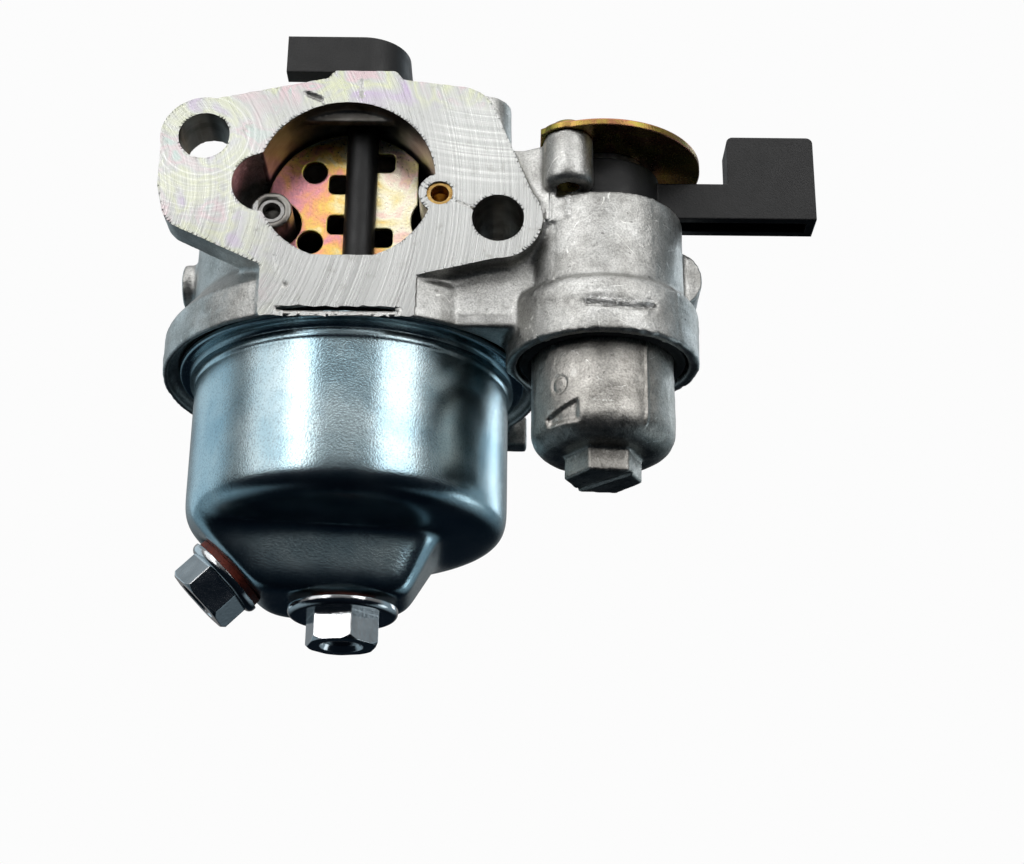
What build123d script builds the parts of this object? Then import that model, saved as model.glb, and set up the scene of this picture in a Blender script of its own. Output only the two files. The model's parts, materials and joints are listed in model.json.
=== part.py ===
from build123d import *
import os

# Carburetor for a small engine. Millimetres, +Z up, the bore runs along +Y.
# Pieces are drawn with the bore's centre on the air-filter flange face at zero, then moved so that
# the origin is the middle of the stud pattern on the engine flange face.

# --- overall sizes ---
flange_to_flange = 53.0
flange_thickness = 5.0
stud_spacing = 42.0
stud_tilt = -16.9
stud_middle = (0.5, 0.5)
stud_hole_r = 3.5
stud_pad_r = 6.0
stud_pad_depths = (7.5, 18.0)

# --- the air passage ---
choke_bore_r = 12.1
choke_bore_depth = 14.0
throat_r = 7.2
throat_y = 27.0
throttle_bore_r = 9.5
throttle_bore_start = 33.0
barrel_r = 14.2

# --- choke ---
choke_x = 1.4
choke_y = 7.4
choke_shaft_r = 2.2
choke_flat_top = 10.3
choke_lip = (2.2, 3.3)
choke_flat_bottom = 11.4
choke_boss_top = 17.1
choke_plate_t = 0.8
choke_plate_front = 8.1
choke_plate_r = choke_bore_r - 0.4
choke_plate_right = 9.3
choke_lever_bottom = 17.5
choke_lever_height = 5.8
choke_hub_r = 6.4

# --- throttle ---
throttle_y = 42.5
throttle_shaft_r = 3.0
throttle_plate_t = 1.0
throttle_boss_top = 17.4
throttle_lever_t = 3.0

# --- float chamber, round the bowl axis ---
bowl_x = -0.2
bowl_y = 25.1
rim_wall = 0.8
rim_bottom = -20.3
rim_height = 5.3
rim_lip_t = 0.38
rim_lip_top = -19.6
chamber_ceiling = -16.6
recess_ceiling = -18.9
left_wall_top = 2.0
right_shelf = -10.2

# --- pressed steel bowl ---
bowl_sheet = 0.8
bowl_wall_r = 22.4
bowl_flange_width = 2.25
bowl_flange_t = 1.0
bowl_shallow = -43.2
bowl_deep = -52.2
bowl_corner_r = 2.6

# --- sizes that follow from the bowl's ---
bowl_flange_r = bowl_wall_r + bowl_flange_width
bowl_rim_gap = 1.55
recess_r = bowl_flange_r + bowl_rim_gap
rim_r = recess_r + rim_wall
wall_r = bowl_wall_r + 0.9
chamber_r = bowl_wall_r - bowl_sheet

# --- bolts ---
hex_af = 9.0
bolt_r = 3.0
bolt_flange_r = 7.6
bolt_flange_t = 1.2
drain_flange_r = 6.0
washer_t = 0.8
drain_washer_t = 1.0
bolt_top = -41.0
well_left = -11.3
well_top = -40.4

# --- fuel cock ---
cock_to_rim = 8.05
cock_x = bowl_x + rim_r + cock_to_rim
cock_y = 9.0
cock_r = 11.2
cock_top = -2.5
ring_r = 13.08
ring_top = -15.2
ring_bottom = -23.7
ring_shoulder_r = 1.8
cup_r = 9.6
cup_bottom = -36.5
cup_wall = 1.9
cup_thread_r = 9.0
cup_hex_turn = 6.5
cup_slot_turn = -45
valve_r = 8.15
valve_floor = -8.8
valve_gasket_t = 1.1
plate_bottom = 6.0
plate_t = 0.9
plate_r = 13.9
lever_width = 5.0
lever_height = 5.4
lever_reach = 29.7
screw_boss_r = 3.4
screw_boss_spot = (-4.85, -9.4)
screw_boss_feet = (cock_top + 1.0, cock_top - 4.0)
plate_screw_r = 1.5
plate_screw_head_r = 2.6
web_low = -6.0
nipple_x = cock_x + 9.65
nipple_z = -9.0
nipple_r = 2.6
nipple_length = 16.0
nipple_root = 24.0

# --- air jets in the inlet ---
side_pocket_centre = (-10.9, -0.5)
side_pocket_r = 4.5
side_pocket_depth = 12.0
main_air_centre = (-10.4, -2.6)
main_air_boss_r = 2.8
main_air_boss_front = 4.0
pilot_air_centre = (12.7, -1.9)
pilot_air_boss_r = 2.86
pilot_air_boss_depth = 6.0
air_jet_r = 1.78
air_jet_length = 4.2
air_jet_sink = 0.3

# --- centre post, float and needle ---
post_r = 5.6
nozzle_r = 1.6
jet_r = 2.5
jet_top = -31.2
hinge_room = 5.0
hinge_arm = 6.5
pin_y = bowl_y + bowl_wall_r - hinge_room
needle_y = pin_y - hinge_arm
needle_r = 1.7
needle_low = -23.6
needle_drop = 0.84
seat_r = 3.2
seat_low = -21.4
seat_high = -12.6
float_wall_gap = 3.6
float_r = bowl_wall_r - bowl_sheet - float_wall_gap
float_hole_r = 9.2
float_low = -36.0
float_high = -25.0
float_drop = 8.0
tang_low = -24.4
tang_half = 4.4
pin_z = -20.5
pin_r = 1.0
pin_half = 8.5
hinge_post_inner = 5.6
hinge_post_outer = 8.6
gasket_in = bowl_wall_r + 0.4
gasket_out = gasket_in + 1.8
gasket_t = 1.6

# --- adjusting screws and pilot jet ---
screw_r = 2.0
idle_x = 8.0
idle_z = 19.8
idle_lug = (28.5, 32.5)
idle_tip_y = 36.0
mixture_y = 38.5
mixture_z = 2.0
mixture_boss_end = 18.0
mixture_tip_x = 10.6
pilot_jet_spot = (-8.0, 24.0)
pilot_jet_r = 2.2
pilot_jet_seat = 11.5
pilot_jet_top = 14.6
plug_spot = (25.0, -4.3)
plug_r = 1.5
plug_depth = 1.0

# --- clearances ---
running = 0.05
gap = 0.3
needle_clearance = 0.08
# the centre post stands just clear of the bottom of the bowl
post_bottom = bowl_deep + bowl_sheet + running


def upright(radius, z_low, z_high, x, y):
    """A vertical cylinder between two heights."""
    return Pos(x, y, (z_low + z_high) / 2) * Cylinder(radius, z_high - z_low)


def along_bore(radius, y_low, y_high, x, z):
    """A cylinder along Y between two depths."""
    return Pos(x, (y_low + y_high) / 2, z) * Rot(90, 0, 0) * Cylinder(radius, y_high - y_low)


def across(radius, x_low, x_high, y, z):
    """A cylinder along X."""
    return Pos((x_low + x_high) / 2, y, z) * Rot(0, 90, 0) * Cylinder(radius, x_high - x_low)


def block(x_low, x_high, y_low, y_high, z_low, z_high):
    """A box between its limits."""
    centre = Pos((x_low + x_high) / 2, (y_low + y_high) / 2, (z_low + z_high) / 2)
    return centre * Box(x_high - x_low, y_high - y_low, z_high - z_low)


def turned(points, x, y):
    """A solid turned about a vertical axis from (radius, height) points."""
    profile = make_face(Plane.XZ * Polyline(*points, close=True))
    return Pos(x, y, 0) * revolve(profile, Axis.Z)


def rounded_outline(corners):
    """A flat outline from (x, z, radius) corners."""
    outline = make_face(Polyline(*[(x, z) for x, z, _ in corners], close=True))
    for x, z, radius in corners:
        if radius > 0:
            corner = outline.vertices().sort_by_distance((x, z, 0))[0]
            outline = fillet(corner, radius)
    return outline


def slab(outline, y_low, y_high):
    """Extrudes an outline drawn in (x, z) from one depth to another."""
    face = Plane(origin=(0, y_low, 0), x_dir=(1, 0, 0), z_dir=(0, -1, 0)) * outline
    return extrude(face, -(y_high - y_low))


def between(start, end, radius):
    """A round passage from one point to another."""
    start, end = Vector(*start), Vector(*end)
    plane = Plane(origin=start, z_dir=end - start)
    return extrude(plane * Circle(radius), (end - start).length)


def stud_centres():
    """The two stud hole centres as (x, z), left then right."""
    step = Vector(stud_spacing / 2, 0, 0).rotate(Axis.Z, stud_tilt)
    mx, mz = stud_middle
    return [(mx - step.X, mz - step.Y), (mx + step.X, mz + step.Y)]


def air_flange_outline():
    return rounded_outline([
        (-10.8, rim_bottom, 0), (-10.8, -12.9, 1.2), (-24.1, -6.6, 4.0), (-25.4, -1.0, 3.0),
        (-25.4, 10.9, 5.0), (-3.1, 15.9, 0.5), (-2.2, choke_boss_top, 0.5), (6.3, choke_boss_top, 0.5),
        (7.3, 15.75, 0.6), (18.8, 14.3, 5.4), (28.3, -9.7, 6.0), (9.9, -14.2, 1.0), (9.7, rim_bottom, 0),
    ])


def air_flange():
    flange = slab(air_flange_outline(), 0, flange_thickness)
    for (x, z), depth in zip(stud_centres(), stud_pad_depths):
        flange += along_bore(stud_pad_r, 0, depth, x, z)
    return flange


def engine_flange():
    y_low = flange_to_flange - flange_thickness
    left, right = stud_centres()
    ear = stud_pad_r + 0.8
    shape = make_hull((Pos(*left) * Circle(ear)).edges() + Circle(barrel_r + 1).edges()
                      + (Pos(*right) * Circle(ear)).edges())
    return slab(shape, y_low, flange_to_flange)


def air_passage():
    """Everything the air passage removes, leaving the lip above the choke and the flat below it."""
    points = [(0, -1), (choke_bore_r, -1), (choke_bore_r, choke_bore_depth), (throat_r, throat_y - 1),
              (throat_r, throat_y + 1), (throttle_bore_r, throttle_bore_start),
              (throttle_bore_r, flange_to_flange + 1), (0, flange_to_flange + 1)]
    profile = make_face(Polyline(*points, close=True))
    passage = revolve(profile, Axis.Y)
    passage -= block(-13, 13, choke_lip[0], choke_lip[1], choke_flat_top, 13)
    passage -= block(-13, 13, -1, choke_bore_depth, -13, -choke_flat_bottom)
    return passage


def float_chamber():
    """The round skirt that carries the bowl, flat where it meets the air-filter flange face."""
    skirt = upright(rim_r, rim_bottom, rim_bottom + rim_height, bowl_x, bowl_y)
    shoulder = turned([(0, rim_bottom + rim_height), (rim_r, rim_bottom + rim_height),
                       (wall_r, right_shelf), (0, right_shelf)], bowl_x, bowl_y)
    left_wall = upright(wall_r, rim_bottom, left_wall_top, bowl_x, bowl_y)
    left_wall &= block(-30, -6, 0, 60, -30, 30)
    ahead = block(-40, 40, -10, 0, -40, 30)
    return skirt + shoulder + left_wall - ahead


def screw_spots():
    """The valve plate's two screw centres, either side of the cock."""
    return [(cock_x + s * screw_boss_spot[0], cock_y + s * screw_boss_spot[1]) for s in (1, -1)]


def cock_housing():
    """The round housing with the ring below, the two screw bosses and the inlet arm."""
    housing = upright(cock_r, ring_top - 2, cock_top, cock_x, cock_y)
    ring = upright(ring_r, ring_bottom, ring_top, cock_x, cock_y)
    housing += fillet(ring.edges().sort_by(Axis.Z)[-1], ring_shoulder_r)
    for (x, y), foot in zip(screw_spots(), screw_boss_feet):
        boss = upright(screw_boss_r, foot, plate_bottom, x, y)
        housing += fillet(boss.edges().sort_by(Axis.Z)[0], 1.2)
    housing += across(4.5, nipple_x - 4.5, nipple_x, 16, nipple_z)
    housing += along_bore(4.5, 11, nipple_root, nipple_x, nipple_z)
    return housing


def cock_cavity():
    """The valve well above, the thread and seal seat for the cup below, and the fuel passages."""
    well = upright(valve_r + 0.2, valve_floor, 20, cock_x, cock_y)
    seal_seat = upright(cup_r + 2.0, ring_bottom - 1, ring_bottom + 2.0, cock_x, cock_y)
    thread = upright(cup_thread_r + running, ring_bottom - 1, ring_top - 1.5, cock_x, cock_y)
    down = upright(1.1, ring_top - 2, valve_floor + 1, cock_x, cock_y)
    inlet = along_bore(nipple_r - 0.8, 15, nipple_root + 1, nipple_x, nipple_z)
    inlet += between((nipple_x, 15.5, nipple_z), (cock_x + 4.5, cock_y + 1.5, nipple_z), 1.4)
    outlet = between((cock_x - 4.5, cock_y, valve_floor + 0.5), (cock_x - 4.5, cock_y, -12.4), 1.1)
    outlet += between((cock_x - 4.5, cock_y, -12), (8, 30, -12.4), 1.1)
    return well + seal_seat + thread + down + inlet + outlet


def carburetor_body():
    """The die-cast body with both flanges, barrel, float chamber top and fuel cock housing."""
    body = air_flange() + engine_flange()
    body += along_bore(barrel_r, 0, flange_to_flange, 0, 0)
    body += float_chamber()
    body += cock_housing()
    web_end = cock_x + screw_boss_spot[0]
    body += block(8, web_end, 3, 16, rim_bottom, -9.6)
    web = Polyline((18, 1.5), (24, 1.5), (web_end, -1.1), (web_end, 6), (18, 6), close=True)
    body += extrude(Pos(0, 0, web_low) * make_face(web), plate_bottom - 0.3 - web_low)
    body += upright(5.2, 8, choke_boss_top, choke_x + 0.6, choke_y)
    body += block(choke_x - 3.6, choke_x + 4.9, 1, choke_y, 10, choke_boss_top)
    body += upright(5.4, 6, throttle_boss_top, 0, throttle_y)
    body += upright(5.4, -15.5, -6, 0, throttle_y)
    body += block(-16, 13.5, 10, 46, -15.5, -6)
    body += upright(4.2, 4, 21.8, 18.1, 17.5) + block(8, 18, 13.6, 21.4, 4, 12)
    body += upright(4.4, 5, pilot_jet_top, *pilot_jet_spot)
    body += block(idle_x - 3.5, idle_x + 3.5, idle_lug[0], idle_lug[1], 8, idle_z + 3.5)
    body += across(4.2, 6, mixture_boss_end, mixture_y, mixture_z)
    body += across(3.3, bowl_x - wall_r - 2.0, bowl_x - wall_r + 5.5, *plug_spot)
    body += block(20.5, 25.0, 39.5, 42.5, -23.0, rim_bottom + 2)
    body += upright(post_r, post_bottom, chamber_ceiling + 1, bowl_x, bowl_y)
    body += along_bore(side_pocket_r + 1.2, 1, side_pocket_depth + 1.2, *side_pocket_centre)
    body -= air_passage()
    body -= slab(Pos(*side_pocket_centre) * Circle(side_pocket_r), -1, side_pocket_depth)
    body += along_bore(main_air_boss_r, main_air_boss_front, side_pocket_depth + 1, *main_air_centre)
    body += along_bore(pilot_air_boss_r, 0, pilot_air_boss_depth, *pilot_air_centre)
    body -= float_cavity()
    lip_half = 8.7
    body += block(bowl_x - lip_half, bowl_x + lip_half, 0, rim_lip_t, rim_bottom, rim_lip_top)
    body -= cock_cavity()
    body -= body_holes()
    return body


def float_cavity():
    """The hollow over the float, leaving the centre post and the two hinge posts."""
    hollow = upright(chamber_r, -60, chamber_ceiling, bowl_x, bowl_y)
    hollow -= upright(post_r, -60, chamber_ceiling, bowl_x, bowl_y)
    for low, high in ((-hinge_post_outer, -hinge_post_inner), (hinge_post_inner, hinge_post_outer)):
        hollow -= block(low, high, pin_y - 2.4, pin_y + 2.4, pin_z - 2.2, chamber_ceiling)
    seat = upright(recess_r, -30, recess_ceiling, bowl_x, bowl_y)
    seat -= upright(chamber_r, -30, recess_ceiling, bowl_x, bowl_y)
    groove = upright(gasket_out, recess_ceiling - 1, recess_ceiling + gasket_t, bowl_x, bowl_y)
    groove -= upright(gasket_in, -30, 0, bowl_x, bowl_y)
    return hollow + seat + groove


def body_holes():
    """Drilled and reamed holes: studs, shafts, jets, screws and pins."""
    holes = []
    for x, z in stud_centres():
        holes.append(along_bore(stud_hole_r, -5, flange_to_flange + 5, x, z))
    holes.append(upright(choke_shaft_r + running, -14.4, 30, choke_x, choke_y))
    holes.append(upright(choke_shaft_r + 1.2, choke_boss_top - 1.2, 30, choke_x, choke_y))
    holes.append(upright(throttle_shaft_r + running, -13.9, 30, 0, throttle_y))
    holes.append(upright(throttle_shaft_r + 1.4, throttle_boss_top - 1.5, 30, 0, throttle_y))
    holes.append(upright(nozzle_r, -30, -throat_r + 3, bowl_x, bowl_y))
    holes.append(upright(jet_r, -60, -30, bowl_x, bowl_y))
    holes.append(upright(bolt_r, -60, bolt_top + 0.5, bowl_x, bowl_y))
    holes.append(across(1.2, bowl_x - 8, bowl_x + 8, bowl_y, -38.5))
    holes.append(upright(seat_r - 0.8, -30, seat_high, bowl_x, needle_y))
    holes.append(upright(seat_r, -30, chamber_ceiling, bowl_x, needle_y))
    holes.append(upright(0.9, -13, -11.8, bowl_x, needle_y))
    holes.append(across(pin_r, -pin_half, pin_half, pin_y, pin_z))
    holes.append(along_bore(air_jet_r, -1, 4.5, *pilot_air_centre))
    holes.append(along_bore(0.8, 4, 9, *pilot_air_centre))
    holes.append(along_bore(air_jet_r, 0, main_air_boss_front + 4.5, *main_air_centre))
    holes.append(along_bore(0.8, 8, 14, *main_air_centre))
    holes.append(along_bore(screw_r, idle_lug[0] - 5, idle_lug[1] + 5, idle_x, idle_z))
    holes.append(across(screw_r, mixture_tip_x, 30, mixture_y, mixture_z))
    holes.append(across(0.6, 8, 12, mixture_y, mixture_z))
    holes.append(upright(pilot_jet_r, pilot_jet_seat - 0.1, 30, *pilot_jet_spot))
    holes.append(across(plug_r, -60, bowl_x - wall_r + plug_depth, *plug_spot))
    for (x, y), foot in zip(screw_spots(), screw_boss_feet):
        holes.append(upright(plate_screw_r + running, foot - 1.0, 20, x, y))
    return holes


def main_nozzle():
    """The emulsion tube from the main jet up into the throat."""
    tube = upright(nozzle_r, -31, -throat_r + 3, bowl_x, bowl_y)
    tube -= upright(nozzle_r - 0.7, -32, 0, bowl_x, bowl_y)
    for z in (-27, -23, -19):
        tube -= across(0.4, bowl_x - 3, bowl_x + 3, bowl_y, z)
    return tube


def main_jet():
    jet = upright(jet_r, -37, jet_top, bowl_x, bowl_y)
    jet -= upright(0.4, -38, -30, bowl_x, bowl_y)
    jet -= upright(1.1, -34, -30, bowl_x, bowl_y)
    jet -= block(bowl_x - 0.4, bowl_x + 0.4, bowl_y - 3, bowl_y + 3, -37.1, -36.2)
    return jet


def pilot_jet():
    x, y = pilot_jet_spot
    head_top = pilot_jet_top + 2.8
    jet = upright(pilot_jet_r, pilot_jet_seat, pilot_jet_top, x, y)
    jet += upright(3.6, pilot_jet_top, head_top, x, y)
    jet -= block(x - 4, x + 4, y - 0.5, y + 0.5, head_top - 0.9, 30)
    return jet


def air_jet(centre, front):
    """A pressed jet with a wide mouth, a coned floor and a fine bore along Y."""
    x, z = centre
    jet = along_bore(air_jet_r, front, front + air_jet_length, x, z)
    jet -= along_bore(0.45, front - 1, front + air_jet_length + 1, x, z)
    mouth_end = front + 2.2
    jet -= along_bore(1.25, front - 1, mouth_end, x, z)
    return jet - Pos(x, mouth_end + 0.4, z) * Rot(-90, 0, 0) * Cone(1.25, 0.45, 0.8)


def needle_seat():
    x, y = bowl_x, needle_y
    seat = upright(seat_r - 0.8, chamber_ceiling, seat_high, x, y)
    seat += upright(seat_r, seat_low, chamber_ceiling, x, y)
    seat -= upright(needle_r + needle_clearance, seat_low - 1, -15.9, x, y)
    seat -= upright(0.9, -17, -10, x, y)
    return seat


def float_pin():
    return across(pin_r, -pin_half, pin_half, pin_y, pin_z)


def bowl_gasket():
    ring = upright(gasket_out, recess_ceiling, recess_ceiling + gasket_t, bowl_x, bowl_y)
    return ring - upright(gasket_in, -30, 0, bowl_x, bowl_y)


def bowl_form(inset):
    """The outside form of the bowl, shrunk by the inset."""
    wall = turned([(0, -18), (bowl_wall_r - inset, -18), (bowl_wall_r - inset, bowl_shallow + inset),
                   (0, bowl_shallow + inset)], bowl_x, bowl_y)
    edge = wall.edges().sort_by(Axis.Z)[0]
    wall = fillet(edge, bowl_corner_r - inset)
    i = inset
    low = rounded_outline([(well_left + i, 16.8 + i, 1.6), (8.9 - i, 19.4 + i, 2.6),
                           (7.9 - i, 33.6 - i, 5.5), (well_left + i, 34.4 - i, 4.5)])
    high_left = well_left - (well_top - bowl_deep)
    high = rounded_outline([(high_left + i, 13.4 + i, 1.6), (14.6 - i, 18.6 + i, 4.6),
                            (13.6 - i, 43.0 - i, 8.0), (high_left + i, 43.0 - i, 6.0)])
    well = loft([Pos(0, 0, bowl_deep + i) * low, Pos(0, 0, well_top + i) * high])
    well &= upright(bowl_wall_r - i, -60, -30, bowl_x, bowl_y)
    return wall + well


def drain_frame(depth):
    """A plane facing out of the slanted left side of the well, the depth outside its surface."""
    surface = Plane(origin=(well_left - 4.4, 24.5, bowl_deep + 4.4), x_dir=(0, 1, 0), z_dir=(-1, 0, -1))
    return surface.offset(depth)


def float_bowl():
    bowl = bowl_form(0)
    bowl += turned([(0, recess_ceiling - bowl_flange_t), (bowl_flange_r, recess_ceiling - bowl_flange_t),
                    (bowl_flange_r, recess_ceiling), (0, recess_ceiling)], bowl_x, bowl_y)
    bowl += upright(bowl_wall_r + 0.7, recess_ceiling - 2.6, recess_ceiling - 0.5, bowl_x, bowl_y)
    bowl -= upright(60, recess_ceiling, 0, bowl_x, bowl_y)
    bowl -= bowl_form(bowl_sheet)
    inner_boss = extrude(drain_frame(-4.4) * Circle(4.6), 4.2)
    bowl += inner_boss
    bowl -= extrude(drain_frame(-6) * Circle(bolt_r), 10)
    bowl -= upright(bolt_r + 0.2, -60, -45, bowl_x, bowl_y)
    return bowl


def flanged_bolt(shank_length, flange_r):
    """A flanged hexagon bolt pointing up from z = 0 at the flange's bearing face, head below."""
    bolt = Pos(0, 0, shank_length / 2) * Cylinder(bolt_r, shank_length)
    flange = Pos(0, 0, -bolt_flange_t / 2) * Cylinder(flange_r, bolt_flange_t)
    bolt += fillet(flange.edges().sort_by(Axis.Z)[0], 0.9)
    head_h = 4.0 + bolt_flange_t
    head = extrude(RegularPolygon(hex_af / 2, 6, major_radius=False), -head_h)
    turned_head = Cylinder(hex_af * 0.575, head_h)
    turned_head = chamfer(turned_head.edges().sort_by(Axis.Z)[0], 0.5)
    bolt += head & Pos(0, 0, -head_h / 2) * turned_head
    bolt -= Pos(0, 0, -head_h) * Cone(3.4, 2.6, 1.6)
    return bolt


def bowl_bolt():
    face = bowl_deep - washer_t
    return Pos(bowl_x, bowl_y, face) * Rot(0, 0, -12) * flanged_bolt(bolt_top - face, bolt_flange_r)


def bowl_bolt_washer():
    ring = upright(bolt_flange_r - 3.3, bowl_deep - washer_t, bowl_deep, bowl_x, bowl_y)
    return ring - upright(bolt_r, -60, -40, bowl_x, bowl_y)


def drain_bolt():
    place = drain_frame(drain_washer_t)
    return place.location * Rot(180, 0, 0) * Rot(0, 0, 50) * flanged_bolt(5.4, drain_flange_r)


def drain_washer():
    ring = extrude(drain_frame(0) * Circle(5.6), drain_washer_t)
    return ring - extrude(drain_frame(-1) * Circle(bolt_r), 4)


def sediment_cup():
    """The screwed-in cup with a hexagon and a slot below for the spanner and screwdriver."""
    cup = upright(cup_r, cup_bottom, ring_bottom + 2.0, cock_x, cock_y)
    cup = fillet(cup.edges().sort_by(Axis.Z)[0], 3.4)
    cup += upright(cup_thread_r, ring_bottom + 1.9, ring_top - 2.5, cock_x, cock_y)
    hollow = upright(cup_r - cup_wall, cup_bottom + 2.0, 0, cock_x, cock_y)
    cup -= fillet(hollow.edges().sort_by(Axis.Z)[0], 2.0)
    hexagon = Rot(0, 0, cup_hex_turn) * RegularPolygon(hex_af / 2, 6, major_radius=False)
    hexagon = Pos(cock_x, cock_y, cup_bottom + 1) * hexagon
    cup += extrude(hexagon, -4.3)
    cup -= Pos(cock_x, cock_y, cup_bottom - 3.3) * Rot(0, 0, cup_slot_turn) * Box(12, 0.7, 0.8)
    return cup


def cup_o_ring():
    ring = turned([(cup_r, ring_bottom + 0.4), (cup_r + 1.7, ring_bottom + 0.4),
                   (cup_r + 1.7, ring_bottom + 2.0), (cup_r, ring_bottom + 2.0)], cock_x, cock_y)
    return fillet(ring.edges().filter_by(GeomType.CIRCLE).sort_by(Axis.Z)[:2], 0.5)


def fuel_strainer():
    """A moulded ring with crossed bars that sits in the mouth of the cup."""
    top = ring_top - 2.5
    outer = cup_r - cup_wall
    ring = upright(outer, top - 1.5, top, cock_x, cock_y) - upright(outer - 1.2, -30, 0, cock_x, cock_y)
    for step in range(-5, 6):
        ring += Pos(cock_x + step * 1.2, cock_y, top - 0.75) * Box(0.35, 14, 0.5)
        ring += Pos(cock_x, cock_y + step * 1.2, top - 0.75) * Box(14, 0.35, 0.5)
    return ring & upright(outer, -30, 0, cock_x, cock_y)


def fuel_nipple():
    end = nipple_root + nipple_length
    tube = along_bore(nipple_r - 0.8, 18, nipple_root, nipple_x, nipple_z)
    tube += along_bore(nipple_r, nipple_root, end, nipple_x, nipple_z)
    tube = chamfer(tube.edges().sort_by(Axis.Y)[-1], 0.4)
    collar = along_bore(nipple_r + 0.8, nipple_root, nipple_root + 1.5, nipple_x, nipple_z)
    return tube + collar - along_bore(1.2, 10, end + 1, nipple_x, nipple_z)


def valve_gasket():
    disc = upright(valve_r, valve_floor, valve_floor + valve_gasket_t, cock_x, cock_y)
    for angle in (0, 90, 180, 270):
        spot = Pos(cock_x, cock_y, valve_floor) * Rot(0, 0, angle) * Pos(4.5, 0, 0)
        disc -= spot * Cylinder(1.3, 5)
    return disc


def fuel_valve_lever():
    """The round valve with its arm and upright thumb tab."""
    low = valve_floor + valve_gasket_t + gap / 3
    hub = upright(valve_r, low, plate_bottom - 1.8, cock_x, cock_y)
    y_low, y_high = cock_y - lever_width / 2, cock_y + lever_width / 2
    arm_low = cock_top + 0.6
    arm = block(cock_x + 4, cock_x + lever_reach, y_low, y_high, arm_low, arm_low + lever_height)
    tab = block(cock_x + 17.6, cock_x + lever_reach, y_low, y_high, arm_low, 11.0)
    handle = arm + tab
    ends = handle.edges().filter_by(Axis.Y).group_by(Axis.Z)[-1]
    handle = fillet(ends, 0.9)
    recess = block(cock_x + 10, cock_x + lever_reach - 1.2, y_low + 1.2, y_high - 1.2,
                   arm_low - 1, arm_low + 3.2)
    lever = hub + handle - recess
    for angle in (0, 90):
        lever -= Pos(cock_x, cock_y, low) * Rot(0, 0, angle) * Pos(4.5, 0, 0) * Cylinder(1.2, 3)
    return lever


def wave_washer():
    ring = upright(6.6, plate_bottom - 1.65, plate_bottom - running, cock_x, cock_y)
    return ring - upright(4.6, 0, 10, cock_x, cock_y)


def valve_plate():
    plate = upright(plate_r, plate_bottom, plate_bottom + plate_t, cock_x, cock_y)
    for x, y in screw_spots():
        plate += upright(screw_boss_r + 0.3, plate_bottom, plate_bottom + plate_t, x, y)
    plate &= block(cock_x - 8.6, 60, -20, 40, 0, 20)
    plate -= upright(2.6, 0, 20, cock_x, cock_y)
    for x, y in screw_spots():
        plate -= upright(plate_screw_r + 0.2, 0, 20, x, y)
    return plate


def valve_plate_screw(x, y):
    top = plate_bottom + plate_t
    head = upright(plate_screw_head_r, top, top + 1.4, x, y)
    head = fillet(head.edges().sort_by(Axis.Z)[-1], 1.0)
    screw = head + upright(plate_screw_r, screw_boss_feet[0] + 0.5, top, x, y)
    screw -= Pos(x, y, top + 1.4) * (Box(2.8, 0.7, 1.8) + Box(0.7, 2.8, 1.8))
    return screw


def valve_plate_screws():
    return Compound(children=[valve_plate_screw(x, y) for x, y in screw_spots()])


def choke_shaft():
    """The moulded shaft with its hub, thumb arm and tail on top."""
    shaft = upright(choke_shaft_r, -14.0, choke_lever_bottom + 1, choke_x, choke_y)
    bottom, top = choke_lever_bottom, choke_lever_bottom + choke_lever_height
    hub = upright(choke_hub_r, bottom, top, choke_x, choke_y)
    front = choke_y - choke_hub_r
    arm = block(choke_x - 10.5, choke_x, front, front + 2.6, bottom, top)
    tail = block(choke_x + choke_hub_r - 4.0, choke_x + choke_hub_r, choke_y, choke_y + 6.5, bottom, top)
    lever = hub + arm + tail
    lever -= upright(choke_hub_r - 2.0, bottom + 3.0, 40, choke_x, choke_y)
    shaft += lever
    back = choke_plate_front + choke_plate_t
    slot_top = choke_plate_r + 0.1
    shaft -= block(-15, 15, choke_plate_front - 0.02, back + 0.02, -choke_flat_bottom, slot_top)
    return shaft


def choke_plate():
    outline = Circle(choke_plate_r)
    outline -= Pos(0, -choke_flat_bottom - 9.8) * Rectangle(30, 20)
    outline -= Pos(choke_plate_right + 10, 0) * Rectangle(20, 30)
    outline -= Pos(*main_air_centre) * Circle(main_air_boss_r + 0.9)
    outline -= Pos(main_air_centre[0] - 5, main_air_centre[1]) * Rectangle(10, 2 * main_air_boss_r + 1.8)
    outline -= Pos(*pilot_air_centre) * Circle(pilot_air_boss_r + 1.4)
    outline -= Pos(-5.2, 5.6) * Circle(1.75)
    outline -= Pos(-5.4, -5.35) * Circle(1.8)
    for x, z in ((-0.9, 3.7), (-0.9, -2.6), (3.7, 7.2), (3.7, -4.6)):
        outline -= Pos(x, z) * RectangleRounded(4.6, 3.0, 0.8)
    return slab(outline, choke_plate_front, choke_plate_front + choke_plate_t)


def throttle_plate():
    plate = along_bore(throttle_bore_r - 0.08, throttle_y - throttle_plate_t / 2,
                       throttle_y + throttle_plate_t / 2, 0, 0)
    return plate - along_bore(1.3, 30, 50, 0, 0)


def throttle_shaft():
    shaft_top = throttle_boss_top + 0.6 + throttle_lever_t + 1.5
    shaft = upright(throttle_shaft_r, -13.6, shaft_top, 0, throttle_y)
    half = throttle_plate_t / 2 + 0.01
    shaft -= block(-10, 10, throttle_y - half, throttle_y + half, -throttle_bore_r, throttle_bore_r)
    front = throttle_y - throttle_shaft_r
    return shaft - along_bore(1.3, 30, 50, 0, 0) - along_bore(2.4, front - 1.4, front + 0.2, 0, 0)


def throttle_plate_screw():
    front = throttle_y - throttle_shaft_r
    screw = along_bore(1.3, front, throttle_y + throttle_shaft_r - 0.2, 0, 0)
    head = along_bore(2.4, front - 1.4, front + 0.2, 0, 0)
    return screw + head - block(-3, 3, front - 2, front - 0.8, -0.35, 0.35)


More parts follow.
